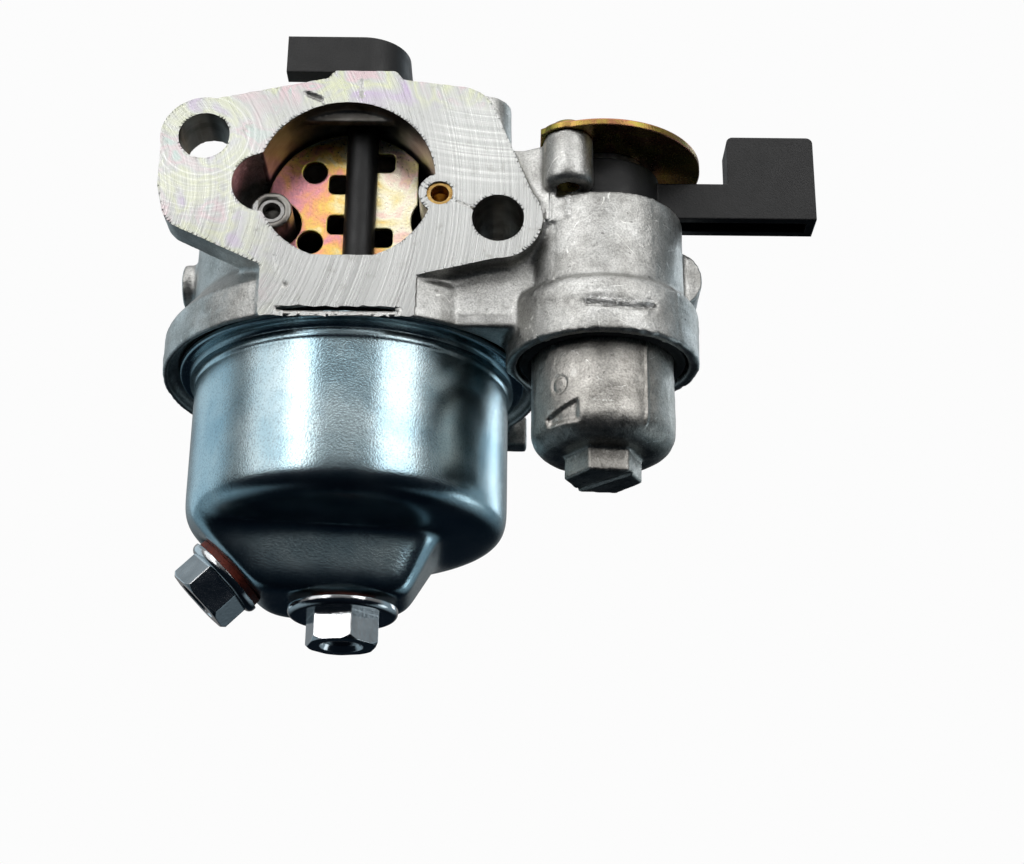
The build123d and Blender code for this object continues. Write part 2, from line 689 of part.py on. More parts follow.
def throttle_lever():
    low = throttle_boss_top + 0.6
    high = low + throttle_lever_t
    lever = upright(6.4, low, high, 0, throttle_y)
    lever += block(-19, 0, throttle_y - 4, throttle_y + 4, low, high) + upright(4, low, high, -19, throttle_y)
    lever += block(0, idle_x + 3, idle_tip_y + 0.1, idle_tip_y + 3, low, high + 2.4)
    lever -= upright(1.4, 0, 30, -19, throttle_y) + upright(1.1, 0, 30, -13, throttle_y)
    return lever - upright(throttle_shaft_r, 0, 30, 0, throttle_y)


def throttle_seal():
    ring = upright(throttle_shaft_r + 1.4, throttle_boss_top - 1.5, throttle_boss_top, 0, throttle_y)
    return ring - upright(throttle_shaft_r + running, 0, 30, 0, throttle_y)


def choke_seal():
    ring = upright(choke_shaft_r + 1.2, choke_boss_top - 1.2, choke_boss_top, choke_x, choke_y)
    return ring - upright(choke_shaft_r + running, 0, 30, choke_x, choke_y)


def float_ring():
    """The moulded float: a ring round the centre post with a step for the hinge tang."""
    ring = upright(float_r, float_low, float_high, bowl_x, bowl_y)
    ring -= upright(float_hole_r, float_low - 1, float_high + 1, bowl_x, bowl_y)
    ring = fillet(ring.edges().filter_by(GeomType.CIRCLE), 1.2)
    low, high = bowl_x - tang_half, bowl_x + tang_half
    return ring + block(low, high, pin_y - 5.0, pin_y - 0.7, float_high - 0.8, tang_low)


def float_tang():
    """The bent strip that carries the hinge eye and pushes the needle."""
    x_low, x_high = bowl_x - tang_half, bowl_x + tang_half
    strip = block(x_low, x_high, needle_y - 2.2, pin_y + 0.6, tang_low, needle_low - needle_clearance)
    eye = across(pin_r + 0.8, x_low, x_high, pin_y, pin_z)
    eye += block(x_low, x_high, pin_y - 1, pin_y + 0.8, tang_low, pin_z)
    return strip + eye - across(pin_r + running, -9, 9, pin_y, pin_z)


def float_needle():
    x, y = bowl_x, needle_y
    needle = upright(needle_r, needle_low + 1.2, -17.2, x, y)
    needle += Pos(x, y, needle_low + 0.6) * Cone(0.5, needle_r, 1.2)
    needle += Pos(x, y, -16.6) * Cone(needle_r, 0.8, 1.2)
    for angle in (0, 120, 240):
        needle -= Pos(x, y, -20) * Rot(0, 0, angle) * Pos(2.5, 0, 0) * Box(2, 4, 4.4)
    return needle


def spring(axis_plane, radius, wire_r, length, turns):
    """A helical spring standing on a plane."""
    path = Helix(pitch=(length - 2 * wire_r) / turns, height=length - 2 * wire_r, radius=radius)
    section = Plane(origin=path @ 0, z_dir=path % 0) * Circle(wire_r)
    coil = sweep(section, path=path, is_frenet=True)
    return axis_plane.location * Pos(0, 0, wire_r) * coil


def idle_screw():
    head_y = idle_lug[0] - 6.0
    screw = along_bore(screw_r - running, head_y, idle_tip_y - 0.8, idle_x, idle_z)
    screw += along_bore(1.2, idle_tip_y - 0.9, idle_tip_y, idle_x, idle_z)
    head = along_bore(3.8, head_y - 3.0, head_y, idle_x, idle_z)
    head -= block(idle_x - 4, idle_x + 4, head_y - 4, head_y - 2, idle_z - 0.5, idle_z + 0.5)
    return screw + head


def idle_spring():
    plane = Plane(origin=(idle_x, idle_lug[0] - 5.9, idle_z), z_dir=(0, 1, 0))
    return spring(plane, 2.7, 0.4, 5.8, 4)


def mixture_screw():
    head_x = mixture_boss_end + 5.0
    screw = across(screw_r - running, mixture_tip_x + 3, head_x, mixture_y, mixture_z)
    screw += Pos(mixture_tip_x + 1.6, mixture_y, mixture_z) * Rot(0, -90, 0) * Cone(1.5, 0.5, 2.9)
    head = across(3.3, head_x, head_x + 4, mixture_y, mixture_z)
    head -= block(head_x + 3, head_x + 5, mixture_y - 4, mixture_y + 4, mixture_z - 0.4, mixture_z + 0.4)
    return screw + head


def mixture_spring():
    plane = Plane(origin=(mixture_boss_end + 0.1, mixture_y, mixture_z), z_dir=(1, 0, 0))
    return spring(plane, 2.6, 0.35, 4.8, 4)


def passage_plugs():
    return across(plug_r, bowl_x - wall_r - 1.4, bowl_x - wall_r + plug_depth, *plug_spot)


def hanging(piece):
    """The float's own pieces hang down on the hinge pin when the bowl is dry."""
    return Pos(0, pin_y, pin_z) * Rot(float_drop, 0, 0) * Pos(0, -pin_y, -pin_z) * piece


pieces = {
    "carburetor_body": carburetor_body(),
    "main_nozzle": main_nozzle(),
    "main_jet": main_jet(),
    "pilot_jet": pilot_jet(),
    "pilot_air_jet": air_jet(pilot_air_centre, air_jet_sink),
    "main_air_jet": air_jet(main_air_centre, main_air_boss_front + air_jet_sink),
    "needle_seat": needle_seat(),
    "float_pin": float_pin(),
    "bowl_gasket": bowl_gasket(),
    "float_bowl": float_bowl(),
    "bowl_bolt": bowl_bolt(),
    "bowl_bolt_washer": bowl_bolt_washer(),
    "drain_bolt": drain_bolt(),
    "drain_washer": drain_washer(),
    "sediment_cup": sediment_cup(),
    "cup_o_ring": cup_o_ring(),
    "fuel_strainer": fuel_strainer(),
    "fuel_nipple": fuel_nipple(),
    "valve_gasket": valve_gasket(),
    "wave_washer": wave_washer(),
    "valve_plate": valve_plate(),
    "valve_plate_screws": valve_plate_screws(),
    "choke_seal": choke_seal(),
    "throttle_seal": throttle_seal(),
    "passage_plugs": passage_plugs(),
    "choke_shaft": choke_shaft(),
    "choke_plate": choke_plate(),
    "throttle_shaft": throttle_shaft(),
    "throttle_lever": throttle_lever(),
    "throttle_plate": throttle_plate(),
    "throttle_plate_screw": throttle_plate_screw(),
    "fuel_valve_lever": fuel_valve_lever(),
    "float_ring": hanging(float_ring()),
    "float_tang": hanging(float_tang()),
    "float_needle": Pos(0, 0, -needle_drop) * float_needle(),
    "idle_screw": idle_screw(),
    "idle_spring": idle_spring(),
    "mixture_screw": mixture_screw(),
    "mixture_spring": mixture_spring(),
}

os.makedirs("parts", exist_ok=True)
to_origin = Pos(-stud_middle[0], -flange_to_flange, -stud_middle[1])
for name, piece in pieces.items():
    placed = to_origin * piece
    placed.label = name
    export_step(placed, f"parts/{name}.step")
    print(name, len(placed.solids()), round(placed.volume, 1))
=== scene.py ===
# %% [markdown]
# # A small-engine carburetor, finished in Blender
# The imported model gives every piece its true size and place. This lesson gives each piece the surface
# that its making leaves: grey die casting, milled faces, zinc plating, brass and moulded plastic.
# Lengths in the cells are millimetres from the middle of the stud pattern on the engine flange.

# %% Load the frame
import json
import math

import bpy
import numpy as np
from mathutils import Matrix, Vector, kdtree


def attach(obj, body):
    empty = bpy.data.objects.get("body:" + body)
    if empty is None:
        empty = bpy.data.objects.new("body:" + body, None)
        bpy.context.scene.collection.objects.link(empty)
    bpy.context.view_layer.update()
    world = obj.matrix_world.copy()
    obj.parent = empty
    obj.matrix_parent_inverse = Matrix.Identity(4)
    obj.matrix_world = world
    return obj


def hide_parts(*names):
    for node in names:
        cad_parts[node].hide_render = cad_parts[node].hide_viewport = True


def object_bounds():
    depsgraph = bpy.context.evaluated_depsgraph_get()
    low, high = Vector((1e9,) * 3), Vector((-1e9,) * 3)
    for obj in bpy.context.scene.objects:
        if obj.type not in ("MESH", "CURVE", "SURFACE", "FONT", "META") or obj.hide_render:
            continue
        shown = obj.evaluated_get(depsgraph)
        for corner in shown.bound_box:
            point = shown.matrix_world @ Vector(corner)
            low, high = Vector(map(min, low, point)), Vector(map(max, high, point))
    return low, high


MM = 0.001
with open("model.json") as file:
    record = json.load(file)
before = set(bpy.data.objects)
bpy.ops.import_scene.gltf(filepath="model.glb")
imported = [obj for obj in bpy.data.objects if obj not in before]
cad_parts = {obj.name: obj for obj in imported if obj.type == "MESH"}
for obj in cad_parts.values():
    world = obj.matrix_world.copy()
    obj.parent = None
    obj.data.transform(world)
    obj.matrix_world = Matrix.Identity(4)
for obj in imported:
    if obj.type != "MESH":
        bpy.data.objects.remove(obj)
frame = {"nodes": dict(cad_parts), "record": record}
cad_low, cad_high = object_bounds()
print("nodes", len(frame["nodes"]), "CAD box", [round(x / MM, 1) for x in (*cad_low, *cad_high)])

# %% [markdown]
# ## The camera
# The object is seen from the air-filter side, from a little below and in front of it, so the camera
# looks up. Three directions say how it is turned: its right, its up and the way back towards it.
# A long lens a quarter of a metre away gives the gentle perspective of a close product view.

# %% Camera
camera_place = Vector((21.92, -260.92, -118.79)) * MM
camera_right = Vector((0.9999, -0.005, 0.0088))
camera_up = Vector((-0.01, -0.3664, 0.9304))
camera_back = Vector((-0.0014, -0.9305, -0.3664))
camera_data = bpy.data.cameras.new("camera")
camera_data.lens = 61.7
camera_data.sensor_width = 36.0
camera_data.clip_start = 0.01
camera_data.clip_end = 20.0
camera = bpy.data.objects.new("camera", camera_data)
bpy.context.scene.collection.objects.link(camera)
turn = Matrix((camera_right, camera_up, camera_back)).transposed().to_4x4()
camera.matrix_world = Matrix.Translation(camera_place) @ turn
bpy.context.scene.camera = camera
print("camera lens", round(camera_data.lens, 1), "mm")

# %% [markdown]
# ## Small helpers
# Colours are easiest to read as sRGB hex, but shaders work in linear light, so one function turns
# them. Another adds one shader node with its settings and links, which keeps each recipe short.

# %% Colour and node helpers
def srgb(code):
    """An sRGB hex colour as linear RGBA."""
    channels = [int(code[i : i + 2], 16) / 255 for i in (1, 3, 5)]
    linear = [c / 12.92 if c <= 0.04045 else ((c + 0.055) / 1.055) ** 2.4 for c in channels]
    return (*linear, 1.0)


def node(tree, kind, inputs=None, stops=None, **settings):
    """Adds a node. Inputs hold values or the sockets that feed them, and stops fill a colour ramp."""
    made = tree.nodes.new(kind)
    for name, value in settings.items():
        setattr(made, name, value)
    for name, value in (inputs or {}).items():
        if isinstance(value, bpy.types.NodeSocket):
            tree.links.new(value, made.inputs[name])
        else:
            made.inputs[name].default_value = value
    if stops:
        ramp = made.color_ramp
        while len(ramp.elements) < len(stops):
            ramp.elements.new(1.0)
        for element, (place, colour) in zip(ramp.elements, stops):
            element.position = place
            element.color = srgb(colour) if isinstance(colour, str) else (*[colour] * 3, 1)
    return made


# %% [markdown]
# ## The studio
# Plated metal shows its surroundings more than its own colour, so the lights are planned as
# reflections. Two tall soft boxes either side of the viewer draw the two bright bands on the round
# bowl, with a dim gap between them. In front and below it is dark in reflections, which makes the
# underside of the bowl almost black, although the floor that the eye sees is pale.

# %% Lights
scene = bpy.context.scene
scene.view_settings.view_transform = "Standard"
target = Vector((0.01, -0.03, -0.012))


def soft_box(name, azimuth, elevation, distance, width, height, watts, colour=(1, 1, 1)):
    """A rectangular light aimed at the object. Azimuth 0 is in front of it and 90 on its right."""
    a, e = math.radians(azimuth), math.radians(elevation)
    away = Vector((math.sin(a) * math.cos(e), -math.cos(a) * math.cos(e), math.sin(e)))
    light = bpy.data.lights.new(name, "AREA")
    light.shape = "RECTANGLE"
    light.size = width
    light.size_y = height
    light.energy = watts
    light.color = colour
    lamp = bpy.data.objects.new(name, light)
    scene.collection.objects.link(lamp)
    lamp.location = target + away * distance
    lamp.rotation_euler = away.to_track_quat("Z", "Y").to_euler()
    return lamp


soft_box("box_left", -50, 24, 0.9, 0.60, 0.80, 1.7)
soft_box("box_left_core", -31, 25, 0.85, 0.20, 0.75, 1.3)
soft_box("box_right", 37, 24, 0.9, 0.40, 0.80, 2.5)
soft_box("box_front", -2, 36, 1.0, 0.5, 0.28, 0.9)
soft_box("box_top", 20, 80, 0.9, 0.9, 0.7, 2.4)
soft_box("box_far_left", -115, 20, 1.0, 0.8, 0.8, 0.9, (0.78, 0.92, 1.0))
soft_box("box_far_right", 132, 22, 1.0, 0.22, 0.8, 1.3, (0.86, 0.94, 1.0))
soft_box("box_low_right", 103, -26, 0.9, 0.30, 0.30, 0.35, (0.86, 0.96, 1.0))

# %% [markdown]
# The world has two jobs. The eye sees a plain pale backdrop, and every other ray sees a dim room:
# grey above, almost black in front and below, and a lighter blue-grey behind on both sides.

# %% Room and backdrop
world = bpy.data.worlds.new("studio")
scene.world = world
world.use_nodes = True
tree = world.node_tree
tree.nodes.clear()
ways = node(tree, "ShaderNodeSeparateXYZ", {0: node(tree, "ShaderNodeTexCoord").outputs["Generated"]})
above = node(tree, "ShaderNodeMapRange", {0: ways.outputs["Z"], 1: -1.0, 2: 1.0})
room = node(tree, "ShaderNodeValToRGB", {0: above.outputs[0]},
            stops=[(0.0, "#080C12"), (0.44, "#101820"), (0.56, 0.18), (0.72, 0.34), (1.0, 0.40)])
sideways = node(tree, "ShaderNodeMath", {0: ways.outputs["X"]}, operation="ABSOLUTE")
behind = node(tree, "ShaderNodeMapRange", {0: sideways.outputs[0], 1: 0.35, 2: 0.75})
below = node(tree, "ShaderNodeMapRange", {0: ways.outputs["Y"], 1: -0.1, 2: 0.2})
low_back = node(tree, "ShaderNodeMath", {0: behind.outputs[0], 1: below.outputs[0]}, operation="MULTIPLY")
all_round = node(tree, "ShaderNodeMix", {0: low_back.outputs[0], 6: room.outputs[0], 7: srgb("#8FA3AD")},
                 data_type="RGBA")
surroundings = node(tree, "ShaderNodeBackground", {"Color": all_round.outputs[2], "Strength": 1.0})
backdrop = node(tree, "ShaderNodeBackground", {"Color": srgb("#FCFCFC"), "Strength": 1.0})
seen = node(tree, "ShaderNodeMixShader", {
    0: node(tree, "ShaderNodeLightPath").outputs["Is Camera Ray"],
    1: surroundings.outputs[0], 2: backdrop.outputs[0]})
node(tree, "ShaderNodeOutputWorld", {"Surface": seen.outputs[0]})

# %% [markdown]
# ## The floor
# White paper lies well below the object, so that no shadow falls near it. It is left out of
# reflections and of bounced light, which keeps the underside of the bowl dark.

# %% Floor
floor_drop = 0.5
reach = 6.0
floor_mesh = bpy.data.meshes.new("floor")
floor_mesh.from_pydata([(-reach, -reach, 0), (reach, -reach, 0), (reach, reach, 0), (-reach, reach, 0)],
                       [], [(0, 1, 2, 3)])
floor = bpy.data.objects.new("floor", floor_mesh)
floor.location.z = cad_low.z - floor_drop
scene.collection.objects.link(floor)
floor.visible_glossy = False
floor.visible_diffuse = False
paper = bpy.data.materials.new("matt_white_paper")
paper.use_nodes = True
shade = paper.node_tree.nodes["Principled BSDF"]
shade.inputs["Base Color"].default_value = srgb("#F6F6F4")
shade.inputs["Roughness"].default_value = 0.9
shade.inputs["Emission Color"].default_value = srgb("#FFFFFF")
shade.inputs["Emission Strength"].default_value = 0.55
floor_mesh.materials.append(paper)
print("floor at", round(floor.location.z / MM), "mm")

# %% [markdown]
# ## Shared steps of a material
# Every recipe starts from one Principled shader and object coordinates in millimetres, so that a
# pattern's size is a real size. Most pieces also share two facts of manufacture. Their edges are a
# little rounded, which a bevel on the shading normal gives, and those edges wear or plate differently.

# %% Starting a material
def start(name, **values):
    """A material with one Principled shader, set from the values, and its coordinates in millimetres."""
    made = bpy.data.materials.new(name)
    made.use_nodes = True
    tree = made.node_tree
    shader = tree.nodes["Principled BSDF"]
    for socket, value in values.items():
        shader.inputs[socket.replace("_", " ")].default_value = value
    place = node(tree, "ShaderNodeTexCoord")
    mm = node(tree, "ShaderNodeVectorMath", {0: place.outputs["Object"], 3: 1 / MM}, operation="SCALE")
    return made, tree, shader, mm.outputs[0]


def rounded_edges(tree, radius_mm):
    """A normal rounded over that radius, and how much each point belongs to an edge."""
    soft = node(tree, "ShaderNodeBevel", {"Radius": radius_mm * MM}, samples=6)
    flat = node(tree, "ShaderNodeNewGeometry").outputs["Normal"]
    alike = node(tree, "ShaderNodeVectorMath", {0: soft.outputs[0], 1: flat}, operation="DOT_PRODUCT")
    edge = node(tree, "ShaderNodeMapRange", {0: alike.outputs["Value"], 1: 0.995, 2: 0.90})
    return soft.outputs[0], edge.outputs[0]


def mixed(tree, share, a, b, blend="MIX"):
    """Two colours mixed. Each colour is a socket or an sRGB hex."""
    a, b = (srgb(c) if isinstance(c, str) else c for c in (a, b))
    return node(tree, "ShaderNodeMix", {0: share, 6: a, 7: b}, data_type="RGBA", blend_type=blend).outputs[2]


def surfaced(name, light, dark, edge, patch_mm, rough, fine_mm, fine_depth_mm, edge_mm=0.15, **values):
    """A finish whose colour and gloss drift in patches, with fine relief and softened edges."""
    made, tree, shader, mm = start(name, **values)
    patch = node(tree, "ShaderNodeTexNoise", {"Vector": mm, "Scale": 1 / patch_mm, "Detail": 5.0,
                                              "Roughness": 0.6})
    fine = node(tree, "ShaderNodeTexNoise", {"Vector": mm, "Scale": 1 / fine_mm, "Detail": 3.0})
    drift = node(tree, "ShaderNodeValToRGB", {0: patch.outputs[0]}, stops=[(0.34, dark), (0.66, light)])
    normal, at_edge = rounded_edges(tree, edge_mm)
    worn = node(tree, "ShaderNodeMath", {0: at_edge, 1: patch.outputs[0]}, operation="MULTIPLY")
    tree.links.new(mixed(tree, worn.outputs[0], drift.outputs[0], edge), shader.inputs["Base Color"])
    gloss = node(tree, "ShaderNodeMapRange", {0: patch.outputs[0], 1: 0.3, 2: 0.7, 3: rough[0], 4: rough[1]})
    tree.links.new(gloss.outputs[0], shader.inputs["Roughness"])
    relief = node(tree, "ShaderNodeBump", {"Height": fine.outputs[0], "Strength": 1.0,
                                           "Distance": fine_depth_mm * MM, "Normal": normal})
    tree.links.new(relief.outputs[0], shader.inputs["Normal"])
    return made


# %% [markdown]
# ## Die-cast aluminium
# Molten alloy is shot into a steel mould. The skin comes out grey and softly shining, with a fine
# sparkle, cloudy patches where the melt cooled at different speeds, small dark cold marks, and edges
# rubbed bright by handling. The alloy is metallic with a roughness between 0.3 and 0.5.
# Its hollows are also painted darker, which is painted shade.

# %% Die-cast aluminium
def die_cast(name, light, dark, rough, sparkle_mm):
    """A cast skin: cloudy, sparkling, with dark cold marks, rubbed edges, thin bright scratches and painted
    shade in its hollows.
    """
    made, tree, shader, mm = start(name, Metallic=1.0)
    cloud = node(tree, "ShaderNodeTexNoise", {"Vector": mm, "Scale": 1 / 5.0, "Detail": 5.0,
                                              "Roughness": 0.62})
    grain = node(tree, "ShaderNodeTexNoise", {"Vector": mm, "Scale": 1 / sparkle_mm, "Detail": 2.0})
    pits = node(tree, "ShaderNodeTexNoise", {"Vector": mm, "Scale": 1 / 1.3, "Detail": 6.0,
                                             "Roughness": 0.7})
    marks = node(tree, "ShaderNodeTexNoise", {"Vector": mm, "Scale": 1 / 0.9, "Detail": 3.0})
    cloudy = node(tree, "ShaderNodeValToRGB", {0: cloud.outputs[0]}, stops=[(0.34, dark), (0.66, light)])
    speck = node(tree, "ShaderNodeValToRGB", {0: grain.outputs[0]}, stops=[(0.30, 0.66), (0.62, 1.0)])
    base = mixed(tree, 1.0, cloudy.outputs[0], speck.outputs[0], "MULTIPLY")
    cold = node(tree, "ShaderNodeMapRange", {0: marks.outputs[0], 1: 0.68, 2: 0.74, 4: 0.55})
    base = mixed(tree, cold.outputs[0], base, "#4E4C48")
    sharp = node(tree, "ShaderNodeNewGeometry").outputs["Pointiness"]
    worn = node(tree, "ShaderNodeMapRange", {0: sharp, 1: 0.53, 2: 0.62})
    rubbed = node(tree, "ShaderNodeMath", {0: worn.outputs[0], 1: pits.outputs[0]}, operation="MULTIPLY")
    base = mixed(tree, rubbed.outputs[0], base, "#E2E1DC")
    # Concave places, found by low pointiness, are painted darker with #5A5852. This is painted shade in the
    # hollows.
    hollow = node(tree, "ShaderNodeMapRange", {0: sharp, 1: 0.47, 2: 0.40, 4: 0.6})
    base = mixed(tree, hollow.outputs[0], base, "#5A5852")
    contour = node(tree, "ShaderNodeTexNoise", {"Vector": mm, "Scale": 1 / 5.5, "Detail": 0.0,
                                                "Distortion": 0.3})
    off = node(tree, "ShaderNodeMath", {0: contour.outputs[0], 1: 0.5}, operation="SUBTRACT")
    near = node(tree, "ShaderNodeMath", {0: off.outputs[0]}, operation="ABSOLUTE")
    line = node(tree, "ShaderNodeMapRange", {0: near.outputs[0], 1: 0.008, 2: 0.002})
    where = node(tree, "ShaderNodeMapRange", {0: marks.outputs[0], 1: 0.50, 2: 0.60})
    nick = node(tree, "ShaderNodeMath", {0: line.outputs[0], 1: where.outputs[0]}, operation="MULTIPLY")
    base = mixed(tree, nick.outputs[0], base, "#E2E2DE")
    tree.links.new(base, shader.inputs["Base Color"])
    gloss = node(tree, "ShaderNodeMapRange", {0: pits.outputs[0], 1: 0.3, 2: 0.7, 3: rough[0], 4: rough[1]})
    tree.links.new(gloss.outputs[0], shader.inputs["Roughness"])
    fine = node(tree, "ShaderNodeBump", {"Height": grain.outputs[0], "Strength": 0.5, "Distance": 0.05 * MM})
    soft = node(tree, "ShaderNodeBump", {"Height": pits.outputs[0], "Strength": 0.6, "Distance": 0.2 * MM,
                                         "Normal": fine.outputs[0]})
    tree.links.new(soft.outputs[0], shader.inputs["Normal"])
    return made


cast_skin = die_cast("die_cast_aluminium", "#D6D6D3", "#A9A8A4", (0.30, 0.50), 0.24)
cup_skin = die_cast("die_cast_aluminium_cup", "#CFCCC6", "#9C9993", (0.30, 0.52), 0.28)

# %% [markdown]
# Where the casting was torn or its flash was snapped off, fresh metal shows: brighter and rougher,
# without the grey skin. It has its own finish, given only to those faces.

# %% Torn aluminium
torn_metal = surfaced("torn_aluminium", "#F2F2F0", "#C4C3BF", "#FFFFFF", 0.4, (0.32, 0.5), 0.18, 0.12,
                      Metallic=1.0)
print("cast finishes", cast_skin.name, cup_skin.name, torn_metal.name)

# %% [markdown]
# ## Milled and bored aluminium
# The flange face is skimmed with a large cutter, which leaves long arcs, and the bores are cut with a
# turning tool, which leaves rings. The milled face is glossier than the cast skin. Its arcs are made
# from the distance to the cutter's centre, fed to a noise along one line, so neighbouring cuts differ
# as real ones do. Thin films of cutting fluid and handling leave faint pastel tints.
# On the right ear, bright bands round a far centre are a painted highlight that stands in for light
# reflected along the cut lines.

# %% Milled aluminium
def distance_across(tree, mm, centre):
    """The distance from a centre, measured in the plane of the flange face."""
    away = node(tree, "ShaderNodeVectorMath", {0: mm, 1: centre}, operation="SUBTRACT")
    flat = node(tree, "ShaderNodeVectorMath", {0: away.outputs[0], 1: (1, 0, 1)}, operation="MULTIPLY")
    return node(tree, "ShaderNodeVectorMath", {0: flat.outputs[0]}, operation="LENGTH").outputs["Value"]


def cut_rings(tree, mm, centre, pitch_mm):
    """Uneven rings round a centre: a noise read along the distance from it."""
    far = distance_across(tree, mm, centre)
    rings = node(tree, "ShaderNodeTexNoise", {"W": far, "Scale": 1 / pitch_mm,
                                              "Detail": 3.0, "Roughness": 0.7}, noise_dimensions="1D")
    return rings.outputs[0]


def near_spot(tree, mm, spot, none_mm, full_mm):
    """A soft round area of the flange face: 1 near the spot and 0 further off."""
    far = distance_across(tree, mm, spot)
    return node(tree, "ShaderNodeMapRange", {0: far, 1: none_mm, 2: full_mm}).outputs[0]


cutter_centre = (-40.0, 0.0, -3.0)
sheen_band_centre = (24.0, 0.0, 62.0)
left_hole_centre = (-20.1, 0.0, 6.1)
milled, tree, shader, mm = start("milled_aluminium", Metallic=1.0)
arcs = cut_rings(tree, mm, cutter_centre, 0.30)
fine_arcs = cut_rings(tree, mm, cutter_centre, 0.17)
hole_rings = cut_rings(tree, mm, left_hole_centre, 0.45)
sheen_rings = cut_rings(tree, mm, sheen_band_centre, 0.9)
round_hole = near_spot(tree, mm, (-20.1, 0.0, 3.0), 13.0, 8.0)
on_right = near_spot(tree, mm, (18.0, 0.0, 5.5), 9.0, 4.0)
film = node(tree, "ShaderNodeTexNoise", {"Vector": mm, "Scale": 1 / 5.0, "Detail": 3.0, "Distortion": 0.6})
tint = node(tree, "ShaderNodeValToRGB", {0: film.outputs[0]},
            stops=[(0.30, "#B58FCB"), (0.38, "#BDBEBC"), (0.46, "#D6DC9A"), (0.53, "#BDBEBC"),
                   (0.60, "#DDA6B4"), (0.68, "#9ECBC0")])
sides = node(tree, "ShaderNodeSeparateXYZ", {0: mm})
at_left = node(tree, "ShaderNodeMapRange", {0: sides.outputs["X"], 1: -8.0, 2: -16.0, 4: 0.26})
at_top = node(tree, "ShaderNodeMapRange", {0: sides.outputs["Z"], 1: 10.0, 2: 13.5, 4: 0.38})
tinted = node(tree, "ShaderNodeMath", {0: at_left.outputs[0], 1: at_top.outputs[0]}, operation="MAXIMUM")
metal = mixed(tree, tinted.outputs[0], "#B4B5B3", tint.outputs[0])
streak = node(tree, "ShaderNodeValToRGB", {0: arcs}, stops=[(0.3, 0.82), (0.62, 1.0)])
metal = mixed(tree, 1.0, metal, streak.outputs[0], "MULTIPLY")
# Painted highlight: bright bands in rings round a far centre, on the right ear only, stand in for the sheen
# of the cut lines.
painted_sheen = node(tree, "ShaderNodeMapRange", {0: sheen_rings, 1: 0.45, 2: 0.68, 4: 0.5})
bands = node(tree, "ShaderNodeMath", {0: painted_sheen.outputs[0], 1: on_right}, operation="MULTIPLY")
metal = mixed(tree, bands.outputs[0], metal, "#E4E6E2")
ringed = node(tree, "ShaderNodeMapRange", {0: hole_rings, 1: 0.45, 2: 0.70, 4: 0.4})
rings_on = node(tree, "ShaderNodeMath", {0: ringed.outputs[0], 1: round_hole}, operation="MULTIPLY")
metal = mixed(tree, rings_on.outputs[0], metal, "#DEDFDC")
stain = node(tree, "ShaderNodeTexNoise", {"Vector": mm, "Scale": 1 / 2.2, "Detail": 6.0, "Roughness": 0.65})
dull = node(tree, "ShaderNodeMapRange", {0: stain.outputs[0], 1: 0.58, 2: 0.70, 4: 0.5})
metal = mixed(tree, dull.outputs[0], metal, "#86857F")
tree.links.new(metal, shader.inputs["Base Color"])
gloss = node(tree, "ShaderNodeMapRange", {0: fine_arcs, 1: 0.3, 2: 0.7, 3: 0.24, 4: 0.40})
tree.links.new(gloss.outputs[0], shader.inputs["Roughness"])
both = node(tree, "ShaderNodeMath", {0: hole_rings, 1: 0.25, 2: fine_arcs}, operation="MULTIPLY_ADD")
grooves = node(tree, "ShaderNodeBump", {"Height": both.outputs[0], "Strength": 0.9, "Distance": 0.04 * MM})
waves = node(tree, "ShaderNodeBump", {"Height": arcs, "Strength": 0.7, "Distance": 0.06 * MM,
                                      "Normal": grooves.outputs[0]})
tree.links.new(waves.outputs[0], shader.inputs["Normal"])

# %% [markdown]
# A turning tool fed along the bore leaves fine rings, and the bored finish is given a darker, patchier
# colour than the milled one.

# %% Bored aluminium
bored, tree, shader, mm = start("bored_aluminium", Metallic=1.0)
along = node(tree, "ShaderNodeSeparateXYZ", {0: mm})
rings = node(tree, "ShaderNodeTexNoise", {"W": along.outputs["Y"], "Scale": 1 / 0.3, "Detail": 3.0},
             noise_dimensions="1D")
wall_patches = node(tree, "ShaderNodeTexNoise", {"Vector": mm, "Scale": 1 / 3.0, "Detail": 5.0})
wall = node(tree, "ShaderNodeValToRGB", {0: wall_patches.outputs[0]}, stops=[(0.35, "#77726C"), (0.65, "#A3A09A")])
tree.links.new(mixed(tree, 0.35, wall.outputs[0], rings.outputs[0], "MULTIPLY"), shader.inputs["Base Color"])
gloss = node(tree, "ShaderNodeMapRange", {0: rings.outputs[0], 3: 0.30, 4: 0.46})
tree.links.new(gloss.outputs[0], shader.inputs["Roughness"])
cut = node(tree, "ShaderNodeBump", {"Height": rings.outputs[0], "Strength": 0.8, "Distance": 0.05 * MM})
tree.links.new(cut.outputs[0], shader.inputs["Normal"])
print("machined finishes", milled.name, bored.name)

# %% [markdown]
# ## Zinc-plated sheet
# The bowl is drawn from steel sheet and zinc plated with a blue-white passivation. It is glossy but
# speckled: the drawing roughens the steel like orange peel, about a quarter of a millimetre across,
# and the plating follows it.

